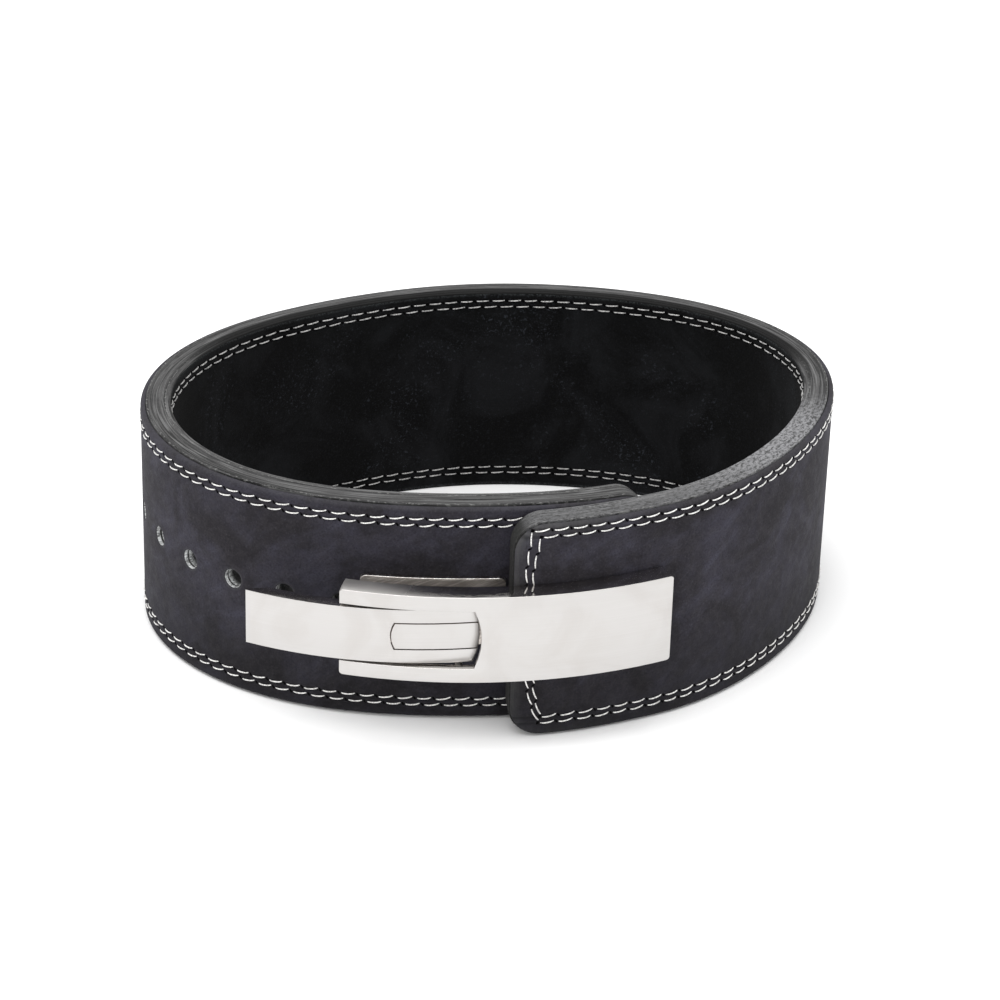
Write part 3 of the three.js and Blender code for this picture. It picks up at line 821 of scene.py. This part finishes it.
def run_stitching(name, guide, tree, values):
    """Runs the tree on a guide and keeps its result as a plain mesh."""
    modifier = guide.modifiers.new("stitching", "NODES")
    modifier.node_group = tree
    for item in tree.interface.items_tree:
        if item.in_out == "INPUT" and item.name in values:
            modifier[item.identifier] = values[item.name]
    guide.update_tag()
    evaluated = guide.evaluated_get(bpy.context.evaluated_depsgraph_get())
    mesh = bpy.data.meshes.new_from_object(evaluated)
    guide.modifiers.remove(modifier)
    bpy.data.objects.remove(guide)
    mesh.name = name
    mesh.shade_smooth()
    made = bpy.data.objects.new(name, mesh)
    bpy.context.scene.collection.objects.link(made)
    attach(made, "belt")


def thread_finish(name, pale, gap_shade_and_dirt):
    """Waxed thread: pale plies with painted shade in the gaps between them, and a little dirt."""
    material, tree, shader = new_material(name)
    place = object_place(tree)
    plies = noise(tree, place, 1500, 2, 0.6)
    dirt = noise(tree, place, 160, 3)
    # Painted shade in the gaps between the plies; the dirt below reuses this dark colour.
    colour = blend(tree, ramp(tree, plies, 0.36, 0.58), gap_shade_and_dirt, pale)
    colour = blend(tree, ramp(tree, dirt, 0.5, 0.75, 0.0, 0.45), colour, gap_shade_and_dirt)
    tree.links.new(colour, shader.inputs["Base Color"])
    shader.inputs["Roughness"].default_value = 0.65
    shader.inputs["Sheen Weight"].default_value = 0.2
    tree.links.new(bump(tree, plies, 0.15 * mm, 0.8), shader.inputs["Normal"])
    return material


# Painted shade: each patch is nearly black and without shine, for the shade inside a needle hole.
def needle_hole_finish():
    material, tree, shader = new_material("needle_hole")
    grain = noise(tree, object_place(tree), 2500, 2)
    colour = blend(tree, grain, (0.001, 0.001, 0.001, 1), (0.004, 0.004, 0.004, 1))
    tree.links.new(colour, shader.inputs["Base Color"])
    shader.inputs["Roughness"].default_value = 1.0
    shader.inputs["Specular IOR Level"].default_value = 0.0
    return material


stitching = stitching_tree()
needle_hole = shape_object("needle_hole", needle_hole_shape())
slit_shade_finish = needle_hole_finish()
white_thread = thread_finish("white_thread", (0.84, 0.83, 0.81, 1), (0.42, 0.41, 0.40, 1))
grey_thread = thread_finish("grey_thread", (0.50, 0.49, 0.48, 1), (0.13, 0.13, 0.13, 1))
for face_name, depth, outside, thread, slant, bow in (
    ("outer", 0.0, 1, white_thread, outer_slant, outer_bow),
    ("inner", strap_thickness, -1, grey_thread, inner_slant, 0.0),
):
    stitch = shape_object(f"{face_name}_stitch", stitch_shape(bow))
    stitch_guide, needle_guide = seam_guides(depth, outside)
    run_stitching(f"{face_name}_stitches", stitch_guide, stitching, {
        "Shape": stitch, "Seed": stitch_seed, "Slant": slant, "Unevenness": stitch_unevenness,
        "Finish": thread,
    })
    run_stitching(f"{face_name}_needle_holes", needle_guide, stitching, {
        "Shape": needle_hole, "Seed": stitch_seed, "Slant": awl_slant, "Unevenness": 0.0,
        "Finish": slit_shade_finish,
    })


# Steel: stamped stainless plates with softly broken edges, brushed along their length on the broad faces and
# polished on the narrow ones, which are painted paler as a highlight. The brushing lies level, so it varies
# with height and hardly along the plate.
# The buckle's narrow faces are scuffed dull towards the lever's side.
scuff_place = (-52 * mm, -8 * mm)
weld_distance = 0.005 * mm
flat_angle = math.radians(0.5)
broken_edge_angle = math.radians(28)
steel_crease = math.radians(32)


def plate_steel(name, dark, pale, smudge, roughness, slanted=0.0, narrow=0.66, scuffed=False):
    material, tree, shader = new_material(name)
    place = object_place(tree)
    brushing = streaked(tree, place, (16, 16, 3000), 4, 0.7)
    facing = node(tree, "ShaderNodeNewGeometry").outputs["True Normal"]
    level = maths(tree, "ABSOLUTE", parts_of(tree, facing)["Z"])
    broad = ramp(tree, level, 0.3, 0.75, 1.0, 0.0)
    smudges = ramp(tree, noise(tree, place, 38, 4, 0.6, 0.8), 0.4, 0.7)
    colour = blend(tree, ramp(tree, brushing, 0.3, 0.7), dark, pale)
    colour = blend(tree, product(tree, smudges, 0.45), colour, smudge)
    # Painted highlight: the narrow faces, mostly those facing up or down, get a paler colour of their own.
    colour = blend(tree, broad, (narrow, 0.97 * narrow, 0.94 * narrow, 1), colour)
    if slanted:
        streaks = streaked(tree, turned(tree, place, (0, slanted, 0)), (60, 60, 1100), 4, 0.7, 0.2)
        colour = blend(tree, ramp(tree, streaks, 0.42, 0.62, 0.8, 0.0), colour, dark)
    rough = ramp(tree, smudges, 0.0, 1.0, roughness, 1.25 * roughness)
    polished = product(tree, rough, 0.45)
    if scuffed:
        scuffing = ramp(tree, parts_of(tree, place)["X"], *scuff_place, 0.26, 0.0)
        polished = maths(tree, "ADD", polished, scuffing)
    polished = product(tree, polished, maths(tree, "SUBTRACT", 1.0, broad))
    rough = maths(tree, "ADD", polished, product(tree, rough, broad))
    tree.links.new(colour, shader.inputs["Base Color"])
    tree.links.new(rough, shader.inputs["Roughness"])
    shader.inputs["Metallic"].default_value = 1.0
    tree.links.new(bump(tree, product(tree, brushing, broad), 0.010 * mm, 0.6), shader.inputs["Normal"])
    return material


def dark_gap_walls():
    """Dark brown on the walls of the narrow gap round the lever's insert."""
    material, tree, shader = new_material("dark_gap_walls")
    grain = noise(tree, object_place(tree), 600, 3)
    colour = blend(tree, grain, (0.030, 0.020, 0.016, 1), (0.10, 0.075, 0.062, 1))
    tree.links.new(colour, shader.inputs["Base Color"])
    shader.inputs["Roughness"].default_value = 0.7
    return material


# A steel's dark and pale brushing and its smudges.
brushed = ((0.512, 0.498, 0.486, 1), (0.535, 0.522, 0.512, 1), (0.480, 0.456, 0.436, 1))
# The prong plate's steel: dark slanted brushing streaks, and a warm brown tint that is a painted reflection
# of the dark lever above it.
worn = ((0.40, 0.36, 0.33, 1), (0.96, 0.91, 0.86, 1), (0.70, 0.64, 0.60, 1))
streak_slant = math.radians(24)
steel = plate_steel("brushed_steel", *brushed, 0.28)
scuffed_steel = plate_steel("scuffed_steel", *brushed, 0.28, scuffed=True)
worn_steel_brown_reflection = plate_steel("worn_steel_brown_reflection", *worn, 0.42, slanted=streak_slant, narrow=0.9)
dark_gap_finish = dark_gap_walls()


def steel_piece(name, source, body, edge, finish=steel, edge_finish=None):
    """A node's solid with its facets joined, its edges broken and its curved faces smoothed."""
    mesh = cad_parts[source].data.copy()
    mesh.name = name
    solid = bmesh.new()
    solid.from_mesh(mesh)
    bmesh.ops.remove_doubles(solid, verts=solid.verts, dist=weld_distance)
    bmesh.ops.dissolve_limit(solid, angle_limit=flat_angle, verts=solid.verts, edges=solid.edges)
    solid.to_mesh(mesh)
    solid.free()
    mesh.materials.clear()
    mesh.materials.append(finish)
    if edge_finish is not None:
        mesh.materials.append(edge_finish)
    piece = bpy.data.objects.new(name, mesh)
    bpy.context.scene.collection.objects.link(piece)
    rounding = piece.modifiers.new("edges", "BEVEL")
    rounding.width = edge
    rounding.segments = 3
    rounding.limit_method = "ANGLE"
    rounding.angle_limit = broken_edge_angle
    rounding.miter_outer = "MITER_ARC"
    rounding.use_clamp_overlap = True
    rounding.material = 1 if edge_finish is not None else -1
    finished = bpy.data.meshes.new_from_object(piece.evaluated_get(bpy.context.evaluated_depsgraph_get()))
    piece.modifiers.remove(rounding)
    piece.data = finished
    finished.shade_smooth()
    finished.set_sharp_from_angle(angle=steel_crease)
    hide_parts(source)
    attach(piece, body)


# Buckle: a curved channel over the outer end, slotted from its left end for the lever, which turns on a pin
# in its flanges. The prong plate lies on the inner end, and a hidden plate and two screws hold the buckle.
steel_piece("buckle_shell", "buckle_plate", "belt", 0.45 * mm, scuffed_steel)
steel_piece("lever_shell", "lever_tongue", "lever", 0.35 * mm)
steel_piece("lever_inlay", "lever_insert", "lever", 0.28 * mm, steel, dark_gap_finish)
steel_piece("lever_pin", "hinge_pin", "belt", 0.2 * mm)
steel_piece("prong_plate_shell", "prong_plate", "belt", 1.15 * mm, worn_steel_brown_reflection)
steel_piece("mounting_plate_shell", "mounting_plate", "belt", 0.3 * mm)
steel_piece("screw_1", "mounting_screw_1", "belt", 0.2 * mm)
steel_piece("screw_2", "mounting_screw_2", "belt", 0.2 * mm)


# Floor and light: a white studio sweep under a large soft light, with a softer one from the front.
def floor_finish():
    material, _, shader = new_material("floor")
    shader.inputs["Base Color"].default_value = (0.93, 0.93, 0.93, 1)
    shader.inputs["Roughness"].default_value = 0.9
    shader.inputs["Specular IOR Level"].default_value = 0.1
    return material


floor_reach = 6.0
floor_mesh = bpy.data.meshes.new("floor")
floor_corners = [(x * floor_reach, y * floor_reach, 0) for x, y in ((-1, -1), (1, -1), (1, 1), (-1, 1))]
floor_mesh.from_pydata(floor_corners, [], [(0, 1, 2, 3)])
floor_mesh.materials.append(floor_finish())
floor = bpy.data.objects.new("floor", floor_mesh)
bpy.context.scene.collection.objects.link(floor)


def soft_light(name, place, aim, size, power):
    lamp = bpy.data.lights.new(name, "AREA")
    lamp.shape = "RECTANGLE"
    lamp.size, lamp.size_y = size
    lamp.energy = power
    light = bpy.data.objects.new(name, lamp)
    light.location = place
    light.rotation_euler = (Vector(aim) - Vector(place)).to_track_quat("-Z", "Y").to_euler()
    bpy.context.scene.collection.objects.link(light)


belt_middle = (0, 0, strap_width / 2)
soft_light("overhead", (-0.2, -0.3, 1.9), belt_middle, (1.8, 1.8), 34)
soft_light("front", (-0.9, -1.9, 1.0), belt_middle, (1.2, 1.0), 4)

world = bpy.data.worlds.new("studio")
world.use_nodes = True
world.node_tree.nodes["Background"].inputs["Color"].default_value = (1, 1, 1, 1)
world.node_tree.nodes["Background"].inputs["Strength"].default_value = 1.0
bpy.context.scene.world = world
bpy.context.scene.view_settings.view_transform = "Standard"
